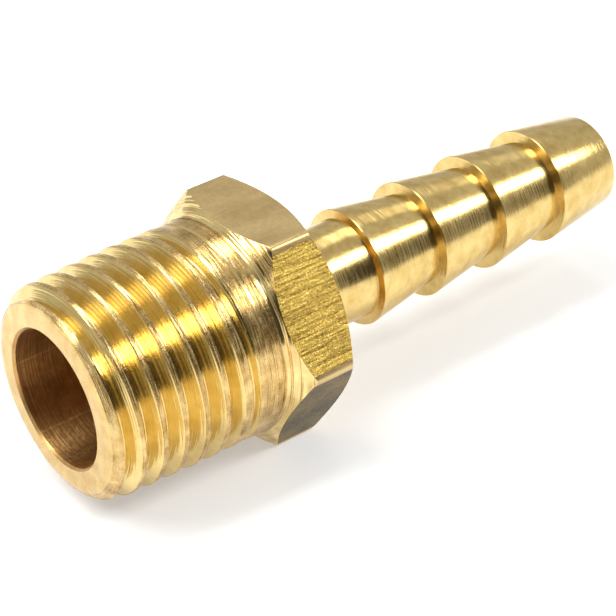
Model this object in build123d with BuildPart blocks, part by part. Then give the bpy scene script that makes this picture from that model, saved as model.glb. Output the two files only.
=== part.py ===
from build123d import *
from math import radians, tan
import os

# Hose barb tail, turned in one piece from hexagon brass bar: a male taper pipe thread, the
# hexagon that a spanner turns it by, and a barbed spigot that a hose is pushed onto.
# Sizes are in millimetres. X runs along the bore from the thread's end face to the hose end, and
# the origin is the centre of the thread's end face. Z is up, square to the top flat of the
# hexagon: the part lies on the flat opposite. The thread itself is not cut here. Its blank has the
# thread's outside diameter and taper.

# Thread end, to suit a 1/4-18 NPT thread
thread_end_diameter = 13.255
thread_taper = 1 / 16
tapered_length = 6.16
shank_length = 11.6
nose_radius = 1.3
nose_share_of_wall = 0.6

# Hexagon, from 9/16 in bar
across_flats = 14.2875
hexagon_length = 4.4
bar_corner_radius = 0.15
thread_side_bevel = 36.5
hose_side_bevel = 33.4
hose_side_inset = 0.104
shank_fillet = 0.3

# Spigot, to suit hose of 1/4 in bore: depths are below the crest of the barbs
barb_diameter = 7.62
barb_depth = 0.8
barb_pitch = 4.985
barb_count = 4
barb_foot_fillet = 0.5
neck_depth = 0.585
neck_length = 5.3
tip_depth = 0.71
tip_length = 5.195
tip_chamfer = 0.2

# Waterway
thread_bore_diameter = 8.58
thread_bore_depth = 11.0
drill_point_angle = 118
spigot_wall = 0.61
mouth_chamfer = 0.15

# Radii worked out from the sizes above. On a thin wall the nose is rounded less, so that it leaves
# some of the end face.
thread_end_radius = thread_end_diameter / 2
shank_radius = thread_end_radius + tapered_length * thread_taper / 2
thread_bore_radius = thread_bore_diameter / 2
nose_fillet = min(nose_radius, nose_share_of_wall * (thread_end_radius - thread_bore_radius))
face_radius = across_flats / 2 - hose_side_inset
bevel_rim = 0.6 * across_flats
crest_radius = barb_diameter / 2
root_radius = crest_radius - barb_depth
neck_radius = crest_radius - neck_depth
tip_radius = crest_radius - tip_depth
spigot_bore_radius = root_radius - spigot_wall

# Stations along the bore
hexagon_end = shank_length + hexagon_length
hexagon_middle = shank_length + hexagon_length / 2
thread_side_rim = shank_length + (bevel_rim - shank_radius) * tan(radians(thread_side_bevel))
hose_side_rim = hexagon_end - (bevel_rim - face_radius) * tan(radians(hose_side_bevel))
barb_shoulders = [hexagon_end + neck_length + k * barb_pitch for k in range(barb_count)]
overall_length = barb_shoulders[-1] + tip_length
drill_point_length = (thread_bore_radius - spigot_bore_radius) / tan(radians(drill_point_angle / 2))


def corner_at(x, radius):
    """Test for the corner of a profile at one station and one radius."""
    return lambda corner: abs(corner.X - x) < 0.01 and abs(corner.Y - radius) < 0.01


with BuildPart() as hose_tail:
    # Length of hexagon bar, with a flat at top and bottom
    with BuildSketch(Plane.YZ.offset(shank_length)) as bar_section:
        RegularPolygon(radius=across_flats / 2, side_count=6, major_radius=False)
        fillet(bar_section.vertices(), radius=bar_corner_radius)
    extrude(amount=hexagon_length)

    # Bevels turned on both ends of the hexagon, which leave a curved edge at the ends of each flat
    with BuildSketch(Plane.XZ) as bevel_section:
        Polygon(
            (shank_length, 0),
            (shank_length, shank_radius),
            (thread_side_rim, bevel_rim),
            (hose_side_rim, bevel_rim),
            (hexagon_end, face_radius),
            (hexagon_end, 0),
            align=None,
        )
    revolve(axis=Axis.X, mode=Mode.INTERSECT)

    # Thread blank: a rounded nose, the taper, and a plain shank up to the hexagon
    with BuildSketch(Plane.XZ) as blank_section:
        Polygon(
            (0, 0),
            (0, thread_end_radius),
            (tapered_length, shank_radius),
            (hexagon_middle, shank_radius),
            (hexagon_middle, 0),
            align=None,
        )
        nose = blank_section.vertices().filter_by(corner_at(0, thread_end_radius))
        fillet(nose, radius=nose_fillet)
    revolve(axis=Axis.X)

    # Fillet where the shank meets the bevel
    shank_foot = hose_tail.edges().filter_by(GeomType.CIRCLE).filter_by(
        lambda edge: abs(edge.center().X - shank_length) < 0.01
    )
    fillet(shank_foot, radius=shank_fillet)

    # Spigot: a plain neck, then barbs that each taper towards the hose end. The square shoulder
    # on the hexagon's side of a barb stops the hose from sliding back, and has a rounded foot.
    with BuildSketch(Plane.XZ) as spigot_section:
        with BuildLine():
            foot = (barb_shoulders[0], neck_radius)
            Polyline((hexagon_middle, 0), (hexagon_middle, neck_radius), foot)
            for shoulder in barb_shoulders[:-1]:
                next_foot = (shoulder + barb_pitch, root_radius)
                Polyline(foot, (shoulder, crest_radius), next_foot)
                foot = next_foot
            Polyline(
                foot,
                (barb_shoulders[-1], crest_radius),
                (overall_length, tip_radius),
                (overall_length, 0),
                (hexagon_middle, 0),
            )
        make_face()
        foot_radii = [neck_radius] + [root_radius] * (barb_count - 1)
        for shoulder, foot_radius in zip(barb_shoulders, foot_radii):
            fillet(spigot_section.vertices().filter_by(corner_at(shoulder, foot_radius)), barb_foot_fillet)
        chamfer(spigot_section.vertices().filter_by(corner_at(overall_length, tip_radius)), tip_chamfer)
    revolve(axis=Axis.X)

    # Waterway: drilled from the thread end to under the hexagon, then a smaller hole right through
    with BuildSketch(Plane.XZ) as bore_section:
        Polygon(
            (0, 0),
            (0, thread_bore_radius + mouth_chamfer),
            (mouth_chamfer, thread_bore_radius),
            (thread_bore_depth, thread_bore_radius),
            (thread_bore_depth + drill_point_length, spigot_bore_radius),
            (overall_length - mouth_chamfer, spigot_bore_radius),
            (overall_length, spigot_bore_radius + mouth_chamfer),
            (overall_length, 0),
            align=None,
        )
    revolve(axis=Axis.X, mode=Mode.SUBTRACT)

hose_tail.part.label = "hose_tail"

os.makedirs("parts", exist_ok=True)
export_step(hose_tail.part, "parts/hose_tail.step")
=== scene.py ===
import math
import bmesh
import bpy
from mathutils import Matrix, Vector


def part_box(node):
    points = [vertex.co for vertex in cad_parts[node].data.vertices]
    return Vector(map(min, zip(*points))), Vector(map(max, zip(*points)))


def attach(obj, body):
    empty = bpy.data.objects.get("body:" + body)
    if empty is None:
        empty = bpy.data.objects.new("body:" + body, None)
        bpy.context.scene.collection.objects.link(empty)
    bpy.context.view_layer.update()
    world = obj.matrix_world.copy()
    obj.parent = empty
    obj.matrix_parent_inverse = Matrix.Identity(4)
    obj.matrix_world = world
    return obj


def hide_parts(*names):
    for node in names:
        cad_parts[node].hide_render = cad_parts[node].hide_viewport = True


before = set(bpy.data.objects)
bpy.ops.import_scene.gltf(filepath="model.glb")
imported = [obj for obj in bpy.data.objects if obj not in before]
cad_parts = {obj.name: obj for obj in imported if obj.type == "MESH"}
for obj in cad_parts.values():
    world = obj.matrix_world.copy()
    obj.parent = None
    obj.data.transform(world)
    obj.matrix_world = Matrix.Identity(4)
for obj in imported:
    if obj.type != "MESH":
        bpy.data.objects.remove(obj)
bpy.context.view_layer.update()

# ---------------------------------------------------------------------------------------------
# Hose tail. One piece of leaded brass, turned from drawn hexagon bar, with its thread cut by a
# die and its waterway drilled. The bar's own surface is left only on the six flats.
# Sizes are in millimetres, and MM turns them to metres when the mesh is made.
# ---------------------------------------------------------------------------------------------

MM = 0.001
low, high = (Vector(corner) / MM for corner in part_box("hose_tail"))
overall_length = high.x - low.x
across_flats = high.z - low.z

# Thread end: the tapered blank, and the V-shaped groove that the die cuts into it. The groove
# runs out over the last turn, and the die leaves a shallow trace on the shank behind it.
end_radius = 6.6275
taper = 1 / 32
shank_radius = 6.82
nose_radius = 1.3
face_edge = end_radius - nose_radius
pitch = 25.4 / 18
groove_depth = 0.95
groove_floor = 0.03
flank_slope = math.tan(math.radians(60))
crest_station, crest_angle = 1.86, 226.4
full_thread_end = 8.0
run_out_rise = 0.29
crest_softness = 0.07
trace_depth = 0.05

# Hexagon between its two turned bevels
shank_length = 11.6
hexagon_end = 16.0
thread_side_slope = math.tan(math.radians(36.5))
hose_side_slope = math.tan(math.radians(33.4))
back_face_radius = across_flats / 2 - 0.104
bar_corner_radius = 0.3
shank_fillet = 0.3

# Spigot
crest_radius = 3.81
neck_radius = crest_radius - 0.585
root_radius = crest_radius - 0.8
tip_radius = crest_radius - 0.71
barb_pitch = 4.985
barb_count = 4
tip_length = 5.195
foot_fillet = 0.02
shoulders = [overall_length - tip_length - barb_pitch * k for k in reversed(range(barb_count))]

# Waterway
thread_bore_radius = 4.29
thread_bore_depth = 11.0
spigot_bore_radius = root_radius - 0.61
drill_point = (thread_bore_radius - spigot_bore_radius) / math.tan(math.radians(59))
mouth_chamfer = 0.15

# Edges as the tools leave them
edge_break = 0.05
tip_round = 0.22
bore_edge_break = 0.03


def hexagon_radius(angle):
    """Distance from the axis to the bar's surface, in the direction of an angle in degrees."""
    from_corner = math.radians((angle + 30) % 60 - 30)
    from_flat = math.radians(angle % 60 - 30)
    corner_centre = (across_flats / 2 - bar_corner_radius) / math.cos(math.radians(30))
    tangent = math.atan2(
        bar_corner_radius * math.sin(math.radians(30)),
        corner_centre + bar_corner_radius * math.cos(math.radians(30)),
    )
    if abs(from_corner) >= tangent:
        return across_flats / 2 / math.cos(from_flat)
    offset = corner_centre * math.sin(from_corner)
    return corner_centre * math.cos(from_corner) + math.sqrt(bar_corner_radius**2 - offset**2)


def nose(x):
    """Radius of the rounded nose, and of the tapered blank behind it."""
    blank = min(end_radius + x * taper, shank_radius)
    if x >= nose_radius:
        return blank
    return min(blank, face_edge + math.sqrt(nose_radius**2 - (nose_radius - x) ** 2))


def thread_surface(x, angle):
    """Radius of the threaded end at one station and one angle in degrees."""
    turns = (x - crest_station) / pitch - (angle - crest_angle) / 360
    from_groove = abs(turns % 1 - 0.5) * pitch
    lift = max(0.0, x - full_thread_end) * run_out_rise
    groove = end_radius + x * taper - groove_depth + lift
    flank = groove + max(0.0, from_groove - groove_floor) * flank_slope
    trace = min(max(x - full_thread_end, 0.0), 1.0) * trace_depth * (1 - math.cos(2 * math.pi * turns)) / 2
    blank = nose(x) - trace
    gap = flank - blank
    blend = max(crest_softness - abs(gap), 0.0) ** 2 / (4 * crest_softness)
    return min(flank, blank) - blend


def rounded(corners):
    """Turn a profile of (x, radius, fillet, steps) corners into points, with an arc at each fillet."""
    points = []
    for k, (x, r, fillet, steps) in enumerate(corners):
        if fillet == 0:
            points.append((x, r))
            continue
        here = Vector((x, r))
        before = (Vector(corners[k - 1][:2]) - here).normalized()
        after = (Vector(corners[k + 1][:2]) - here).normalized()
        half = before.angle(after) / 2
        reach = fillet / math.tan(half)
        centre = here + (before + after).normalized() * fillet / math.sin(half)
        start = here + before * reach - centre
        end = here + after * reach - centre
        sweep = start.angle_signed(end)
        for step in range(steps + 1):
            turned = Matrix.Rotation(-sweep * step / steps, 2) @ start
            points.append(tuple(centre + turned))
    return points


def hexagon_and_spigot(angle):
    """Corners of the profile at one angle, from the shank to the hose end and back through the
    waterway: each has a station, a radius, a fillet, its steps and the finish that follows it."""
    bar = hexagon_radius(angle)
    front = shank_length + (bar - shank_radius) * thread_side_slope
    back = hexagon_end - (bar - back_face_radius) * hose_side_slope
    corners = [
        (shank_length, shank_radius, shank_fillet, 5, "bevel"),
        (front, bar, edge_break, 3, "bar"),
        (back, bar, edge_break, 3, "turned"),
        (hexagon_end, back_face_radius, edge_break, 2, "turned"),
        (hexagon_end, neck_radius, edge_break, 2, "spigot"),
    ]
    foot_radius = neck_radius
    for shoulder in shoulders:
        corners.append((shoulder, foot_radius, foot_fillet, 2, "spigot"))
        corners.append((shoulder, crest_radius, edge_break, 3, "spigot"))
        foot_radius = root_radius
    corners += [
        (overall_length, tip_radius, tip_round, 5, "spigot"),
        (overall_length, spigot_bore_radius + mouth_chamfer, bore_edge_break, 2, "drilled"),
        (overall_length - mouth_chamfer, spigot_bore_radius, bore_edge_break, 2, "drilled"),
        (thread_bore_depth + drill_point, spigot_bore_radius, bore_edge_break, 2, "drilled"),
        (thread_bore_depth, thread_bore_radius, bore_edge_break, 2, "drilled"),
        (mouth_chamfer, thread_bore_radius, bore_edge_break, 2, "drilled"),
        (0, thread_bore_radius + mouth_chamfer, 0, 0, "turned"),
    ]
    return corners


# Columns of the mesh: even steps, with finer ones where the bar's corners are rounded
column_step = 1.25
corner_half_width = 0.53
sixth = [0, corner_half_width / 2, corner_half_width]
sixth += [column_step * k for k in range(1, round(60 / column_step))]
sixth += [60 - corner_half_width, 60 - corner_half_width / 2]
angles = [60 * k + step for k in range(6) for step in sixth]

# Rows of the thread follow its helix, closest together at the edges of the groove
thread_start = 0.1
thread_end = 11.4
half_groove = [0.03, 0.12, 0.22, 0.32, 0.42, 0.50, 0.55, 0.58, 0.61, 0.655]
groove_rows = [-pitch / 2] + [-r for r in reversed(half_groove)] + [0] + half_groove
first_groove = crest_station - pitch * crest_angle / 360 + pitch / 2
turns_cut = range(-2, 9)
helix_rows = [first_groove + pitch * turn + row for turn in turns_cut for row in groove_rows]

points = []
faces = []
finishes = []


def add_grid(rows, row_finishes, seam_shift=0):
    """Add rows of points round the axis and join them into faces, one finish to a row. A helix
    shifts the seam, because each row meets itself there some rows further on."""
    start = len(points)
    width = len(angles)
    for row in rows:
        points.extend(row)
    last = len(rows) - 1
    for k in range(last):
        for column in range(width):
            shift = seam_shift if column == width - 1 else 0
            ahead = (column + 1) % width
            near, far = min(k + shift, last), min(k + 1 + shift, last)
            faces.append((
                start + k * width + column,
                start + (k + 1) * width + column,
                start + far * width + ahead,
                start + near * width + ahead,
            ))
            finishes.append(row_finishes[k])


def ring_point(x, r, angle):
    """Point of the mesh, in metres, at a station, a radius and an angle in degrees."""
    return (x * MM, r * MM * math.cos(math.radians(angle)), r * MM * math.sin(math.radians(angle)))


# End face and nose, up to where the helical rows begin
nose_stations = [0, 0.004, 0.016, 0.036, 0.065, thread_start]
face_radii = [thread_bore_radius + mouth_chamfer, 4.7, 5.0]
nose_rows = [[ring_point(0, r, a) for a in angles] for r in face_radii]
nose_rows += [[ring_point(x, thread_surface(x, a), a) for a in angles] for x in nose_stations]
add_grid(nose_rows, ["turned"] * len(nose_rows))

# Thread
thread_rows = []
for row in helix_rows:
    stations = [min(max(row + pitch * a / 360, thread_start), thread_end) for a in angles]
    thread_rows.append([ring_point(x, thread_surface(x, a), a) for x, a in zip(stations, angles)])
add_grid(thread_rows, ["thread"] * len(thread_rows), seam_shift=len(groove_rows))

# Shank, hexagon, spigot and waterway
columns = []
for a in angles:
    corners = [(thread_end, shank_radius, 0, 0)] + [c[:4] for c in hexagon_and_spigot(a)]
    columns.append([ring_point(x, r, a) for x, r in rounded(corners)])
row_finishes = ["turned"]
for corner in hexagon_and_spigot(0):
    row_finishes += [corner[4]] * (corner[3] + 1)
add_grid(list(map(list, zip(*columns))), row_finishes)

# The die leaves the turned blank on the crests. One flat of the bar is scored, and the one
# below it is painted dark: painted shade for the shadowed floor that this downward flat reflects.
uncut = 0.06
scored_flat = (122, 178)
# Painted shade: this flat's dark colour stands for the shadowed floor that it reflects.
painted_shade_flat = (-178, -122)
for number, face in enumerate(faces):
    corners = [Vector(points[k]) / MM for k in face]
    if finishes[number] == "thread" and all(nose(c.x) - c.yz.length < uncut for c in corners):
        finishes[number] = "crest"
    middle = sum(math.degrees(math.atan2(c.z, c.y)) for c in corners) / len(corners)
    if finishes[number] == "bar" and scored_flat[0] < middle < scored_flat[1]:
        finishes[number] = "scored"
    if finishes[number] == "bar" and painted_shade_flat[0] < middle < painted_shade_flat[1]:
        finishes[number] = "painted_shade"

weld_distance = 0.0002
sharp_angle = 38
mesh = bpy.data.meshes.new("hose_tail_body")
mesh.from_pydata(points, [], faces)
finish_names = ["turned", "bevel", "crest", "thread", "bar", "scored", "painted_shade", "spigot", "drilled"]
mesh.polygons.foreach_set("material_index", [finish_names.index(f) for f in finishes])
shaped = bmesh.new()
shaped.from_mesh(mesh)
bmesh.ops.remove_doubles(shaped, verts=shaped.verts, dist=weld_distance * MM)
bmesh.ops.recalc_face_normals(shaped, faces=shaped.faces)
shaped.to_mesh(mesh)
shaped.free()
mesh.polygons.foreach_set("use_smooth", [True] * len(mesh.polygons))
mesh.set_sharp_from_angle(angle=math.radians(sharp_angle))
body = bpy.data.objects.new("hose_tail_body", mesh)
bpy.context.scene.collection.objects.link(body)
smoothing = body.modifiers.new("even_normals", "WEIGHTED_NORMAL")
smoothing.keep_sharp = True

# Leaded brass, CuZn39Pb3: a warm yellow metal. The base colour is what the clean metal reflects,
# and it drifts to a deeper one where the metal is stained. Tool marks decide how a highlight
# spreads and breaks up. They run round the axis on turned faces, so it is drawn out along it.
stain_spacing = 1.1
grain_spacing = 0.2
pit_depth = 0.002


def linear(hex_colour):
    """Turn an sRGB hex colour into linear RGB with an alpha of 1."""
    parts = [int(hex_colour[k:k + 2], 16) / 255 for k in (1, 3, 5)]
    return tuple(p / 12.92 if p <= 0.04045 else ((p + 0.055) / 1.055) ** 2.4 for p in parts) + (1,)


def add(tree, kind, inputs=None, **settings):
    """Add a node with its settings, and set or link its inputs."""
    made = tree.nodes.new("ShaderNode" + kind)
    for name, value in settings.items():
        setattr(made, name, value)
    for socket, value in (inputs or {}).items():
        if isinstance(value, bpy.types.NodeSocket):
            tree.links.new(value, made.inputs[socket])
        else:
            made.inputs[socket].default_value = value
    return made


def brass(name, colour, deep_colour, roughness, anisotropy, marks, streaks=(1, 1, 1), spacing=stain_spacing):
    """Brass with one finish: marks(tree, place) gives the height of its tool marks, anisotropy
    draws out its highlight and streaks draws out its stains."""
    material = bpy.data.materials.new(name)
    material.use_nodes = True
    tree = material.node_tree
    tree.nodes.clear()
    metres = add(tree, "TexCoord").outputs["Object"]
    place = add(tree, "VectorMath", {0: metres, "Scale": 1 / MM}, operation="SCALE").outputs[0]
    drawn_out = add(tree, "VectorMath", {0: place, 1: streaks}, operation="MULTIPLY").outputs[0]
    cloud = add(tree, "TexNoise", {
        "Vector": drawn_out, "Scale": 1 / spacing, "Detail": 3, "Roughness": 0.6,
    }).outputs["Fac"]
    stain = add(tree, "MapRange", {0: cloud, 1: 0.35, 2: 0.7}).outputs[0]
    tint = add(tree, "Mix", {0: stain, 6: linear(colour), 7: linear(deep_colour)}, data_type="RGBA")
    grain = add(tree, "TexNoise", {
        "Vector": place, "Scale": 1 / grain_spacing, "Detail": 2, "Roughness": 0.6,
    }).outputs["Fac"]
    pits = add(tree, "MapRange", {0: grain, 1: 0.66, 2: 0.78, 3: 0.0, 4: -pit_depth}).outputs[0]
    height = add(tree, "Math", {0: marks(tree, place), 1: pits}, operation="ADD").outputs[0]
    rough = add(tree, "MapRange", {
        0: grain, 1: 0.3, 2: 0.7, 3: roughness * 0.85, 4: roughness * 1.2,
    }).outputs[0]
    bump = add(tree, "Bump", {"Strength": 1.0, "Distance": MM, "Height": height}).outputs[0]
    tangent = add(tree, "Tangent", direction_type="RADIAL", axis="X").outputs[0]
    surface = add(tree, "BsdfPrincipled", {
        "Base Color": tint.outputs[2],
        "Metallic": 1.0,
        "Roughness": rough,
        "Anisotropic": anisotropy,
        "Anisotropic Rotation": 0.25,
        "Tangent": tangent,
        "Normal": bump,
    })
    add(tree, "OutputMaterial", {0: surface.outputs[0]})
    return material


def ridges(tree, vector, spacing, height):
    """Random ridges of one height, across a vector in millimetres."""
    noise = add(tree, "TexNoise", {
        "Vector": vector, "Scale": 1 / spacing, "Detail": 2, "Roughness": 0.65,
    }).outputs["Fac"]
    return add(tree, "Math", {0: noise, 1: height}, operation="MULTIPLY").outputs[0]


# Tool marks, all drawn coarser than the real ones so that they show. The lathe's rings also cross
# the end faces, and rings and helix waver a little on their way round. Scores are drawn out along
# the bar, and scratches across it.
radial_share = 0.9
ring_waver = 0.03
helix_waver = 0.1
score_stretch = (0.12, 1.0, 1.0)
scratch_stretch = (1.0, 0.2, 0.2)


def ring_marks(spacing, height):
    """Feed marks of the lathe tool: rings, which are really about 0.05 mm apart."""
    def marks(tree, place):
        parts = add(tree, "SeparateXYZ", {0: place}).outputs
        radial = add(tree, "CombineXYZ", {1: parts[1], 2: parts[2]}).outputs[0]
        radius = add(tree, "VectorMath", {0: radial}, operation="LENGTH").outputs["Value"]
        along = add(tree, "Math", {0: radius, 1: radial_share, 2: parts[0]}, operation="MULTIPLY_ADD")
        rings = add(tree, "CombineXYZ", {0: along.outputs[0]}).outputs[0]
        waver = add(tree, "VectorMath", {0: radial, "Scale": ring_waver}, operation="SCALE").outputs[0]
        both = add(tree, "VectorMath", {0: rings, 1: waver}, operation="ADD").outputs[0]
        return ridges(tree, both, spacing, height)
    return marks


def helix_marks(spacing, height):
    """Marks of the die's teeth: lines that follow the thread and are the same on each turn."""
    def marks(tree, place):
        parts = add(tree, "SeparateXYZ", {0: place}).outputs
        angle = add(tree, "Math", {0: parts[2], 1: parts[1]}, operation="ARCTAN2").outputs[0]
        turn = add(tree, "Math", {0: parts[0], 1: 2 * math.pi / pitch}, operation="MULTIPLY").outputs[0]
        phase = add(tree, "Math", {0: turn, 1: angle}, operation="SUBTRACT").outputs[0]
        cosine = add(tree, "Math", {0: phase}, operation="COSINE").outputs[0]
        sine = add(tree, "Math", {0: phase}, operation="SINE").outputs[0]
        waver = add(tree, "Math", {0: parts[2], 1: helix_waver}, operation="MULTIPLY").outputs[0]
        wheel = add(tree, "CombineXYZ", {0: cosine, 1: sine, 2: waver}).outputs[0]
        across = add(tree, "VectorMath", {0: wheel, "Scale": pitch / (2 * math.pi)}, operation="SCALE")
        return ridges(tree, across.outputs[0], spacing, height)
    return marks


def drawn_marks(spacing, height):
    """Scores along the bar from the drawing die, crossed by scratches half as deep."""
    def marks(tree, place):
        along = add(tree, "VectorMath", {0: place, 1: score_stretch}, operation="MULTIPLY").outputs[0]
        across = add(tree, "VectorMath", {0: place, 1: scratch_stretch}, operation="MULTIPLY").outputs[0]
        scores = ridges(tree, along, spacing, height)
        scratches = ridges(tree, across, spacing, height * 0.5)
        return add(tree, "Math", {0: scores, 1: scratches}, operation="ADD").outputs[0]
    return marks


# Turned: the shank, the nose and the end faces, with rings that feather the edge of a highlight.
turned = brass("turned_brass", "#E6C888", "#D0AC6C", 0.24, 0.3, ring_marks(0.2, 0.03))

# Bevelled: the tool chattered on the hexagon's corners, so bright and dark arcs lie side by side.
bevelled = brass("bevelled_brass", "#F6DC98", "#D8B878", 0.16, 0.5, ring_marks(0.4, 0.25))

# Torn: the crests between the grooves, rough lines of light and dark.
torn = brass("torn_turned_brass", "#E6C686", "#A88448", 0.25, 0.3, ring_marks(0.12, 0.12))

# Die-cut: the flanks of the thread, burnished by the die, so a bright line runs beside a dark one.
die_cut = brass("die_cut_brass", "#E8CE8C", "#DABE78", 0.18, 0.2, helix_marks(0.13, 0.05))

# Drawn: the bar's own skin, dull and even, with faint smudges along it.
drawn = brass(
    "drawn_bar_brass", "#D8BC84", "#BCA06A", 0.36, 0.2, drawn_marks(0.3, 0.006),
    streaks=(0.4, 1, 1), spacing=2.5,
)

# Scored: one flat with deep scores along it, a stronger yellow broken by fine dark lines.
scored = brass(
    "scored_bar_brass", "#DABA5E", "#7C5E24", 0.26, 0.2, drawn_marks(0.1, 0.1),
    streaks=(0.05, 1, 1), spacing=0.13,
)

# Painted shade: the downward flat, dull and dark brown, painted as its reflection of the shadowed floor.
painted_shade = brass(
    "painted_shade_bar_brass", "#806C3E", "#40341A", 0.42, 0.2, drawn_marks(0.3, 0.01),
    spacing=2.5,
)

# Satin turned: the spigot, cut with a finer feed, so its highlight is one clean streak.
satin = brass("satin_turned_brass", "#E4C884", "#CCAC66", 0.2, 0.1, ring_marks(0.1, 0.018))

# Drilled: the waterway, a browner yellow, dull, with rings from the drill.
drilled = brass("drilled_brass", "#D0A468", "#B88C54", 0.4, 0.5, ring_marks(0.2, 0.03))

for finish in (turned, bevelled, torn, die_cut, drawn, scored, painted_shade, satin, drilled):
    mesh.materials.append(finish)

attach(body, "root")
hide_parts("hose_tail")

# ---------------------------------------------------------------------------------------------
# Floor. A plain white paper sheet that the part lies on, on a pale grey table. Both are matt, so
# they show only a soft shadow.
# ---------------------------------------------------------------------------------------------

floor_half = 0.9
floor_level = low.z * MM
sheet_edge = -0.06
floor_mesh = bpy.data.meshes.new("floor")
floor_mesh.from_pydata(
    [(x, y, floor_level) for x in (-floor_half, sheet_edge, floor_half) for y in (-floor_half, floor_half)],
    [], [(0, 2, 3, 1), (2, 4, 5, 3)],
)
floor = bpy.data.objects.new("floor", floor_mesh)
bpy.context.scene.collection.objects.link(floor)

# White paper: a matt off-white, with a little light of its own towards the camera and in
# reflections, so that it reads as white while the lamps stay at a plain level.
glow_level = 0.38
paper = bpy.data.materials.new("white_paper")
paper.use_nodes = True
tree = paper.node_tree
tree.nodes.clear()
matt = add(tree, "BsdfDiffuse", {0: linear("#D6D6D6")}).outputs[0]
rays = add(tree, "LightPath").outputs
seen = rays["Is Camera Ray"]
for other in ("Is Glossy Ray", "Is Transmission Ray"):
    seen = add(tree, "Math", {0: seen, 1: rays[other]}, operation="MAXIMUM").outputs[0]
glow_strength = add(tree, "Math", {0: seen, 1: glow_level}, operation="MULTIPLY").outputs[0]
glow = add(tree, "Emission", {0: (1, 1, 1, 1), 1: glow_strength}).outputs[0]
both = add(tree, "AddShader", {0: matt, 1: glow}).outputs[0]
add(tree, "OutputMaterial", {0: both})
floor_mesh.materials.append(paper)

# Painted table top: matt pale grey.
table = bpy.data.materials.new("grey_table")
table.use_nodes = True
tree = table.node_tree
tree.nodes.clear()
matt = add(tree, "BsdfDiffuse", {0: linear("#B4B4B4")}).outputs[0]
add(tree, "OutputMaterial", {0: matt})
floor_mesh.materials.append(table)
floor_mesh.polygons[0].material_index = 1

# ---------------------------------------------------------------------------------------------
# Light. Four soft boxes hang along the part: in front, behind, to the left and overhead. The room
# has plain grey walls and is unlit on one side, which gives the metal its dark band under the
# highlight.
# ---------------------------------------------------------------------------------------------

room_level = 0.6
unlit_level = 0.05
unlit_azimuth, unlit_elevation = -112, 23
unlit_core, unlit_edge = 50, 60
world = bpy.data.worlds.new("room")
bpy.context.scene.world = world
world.use_nodes = True
tree = world.node_tree
tree.nodes.clear()
around, up = math.radians(unlit_azimuth), math.radians(unlit_elevation)
unlit_side = (math.cos(up) * math.cos(around), math.cos(up) * math.sin(around), math.sin(up))
toward = add(tree, "TexCoord").outputs["Generated"]
nearness = add(tree, "VectorMath", {0: toward, 1: unlit_side}, operation="DOT_PRODUCT").outputs["Value"]
level = add(tree, "MapRange", {
    0: nearness, 1: math.cos(math.radians(unlit_edge)), 2: math.cos(math.radians(unlit_core)),
    3: room_level, 4: unlit_level,
}, interpolation_type="SMOOTHSTEP")
walls = add(tree, "Background", {0: linear("#FFFFFF"), 1: level.outputs[0]}).outputs[0]
add(tree, "OutputWorld", {0: walls})

box_distance = 0.4


def soft_box(name, elevation, spread, left, right, radiance):
    """A soft box at an elevation above the front, facing the part, from one station to another."""
    width = right - left
    height = 2 * box_distance * math.tan(math.radians(spread / 2))
    lamp = bpy.data.lights.new(name, "AREA")
    lamp.shape = "RECTANGLE"
    lamp.size = width
    lamp.size_y = height
    lamp.energy = radiance * math.pi * width * height
    box = bpy.data.objects.new(name, lamp)
    direction = Vector((0, -math.cos(math.radians(elevation)), math.sin(math.radians(elevation))))
    middle = Vector((high.x / 2 * MM + (left + right) / 2, 0, 0))
    box.location = middle + direction * box_distance
    box.rotation_euler = direction.to_track_quat("Z", "Y").to_euler()
    bpy.context.scene.collection.objects.link(box)


soft_box("front_box", 54.8, 18, 0.05, 0.48, 8.5)
soft_box("rear_box", 112.5, 24, 0.10, 0.20, 3)
soft_box("left_box", 56, 16, -0.66, -0.47, 3)
soft_box("overhead_box", 106.5, 20, -0.47, -0.02, 11)

# ---------------------------------------------------------------------------------------------
# Camera. A long lens from the front left and above, at the distance of a close product shot.
# ---------------------------------------------------------------------------------------------

camera_place = Vector((-47.10, -85.27, 73.27)) * MM
camera_aim = Vector((18.297, 0, -1.720)) * MM
camera_roll = math.radians(-1.03)
sensor_width = 36
lens_data = bpy.data.cameras.new("camera")
lens_data.sensor_width = sensor_width
lens_data.lens = 124.61
lens_data.clip_start = 0.01
camera = bpy.data.objects.new("camera", lens_data)
looking = (camera_aim - camera_place).to_track_quat("-Z", "Y")
camera.matrix_world = (
    Matrix.Translation(camera_place) @ looking.to_matrix().to_4x4() @ Matrix.Rotation(camera_roll, 4, "Z")
)
bpy.context.scene.collection.objects.link(camera)
bpy.context.scene.camera = camera

bpy.context.scene.view_settings.view_transform = "Standard"
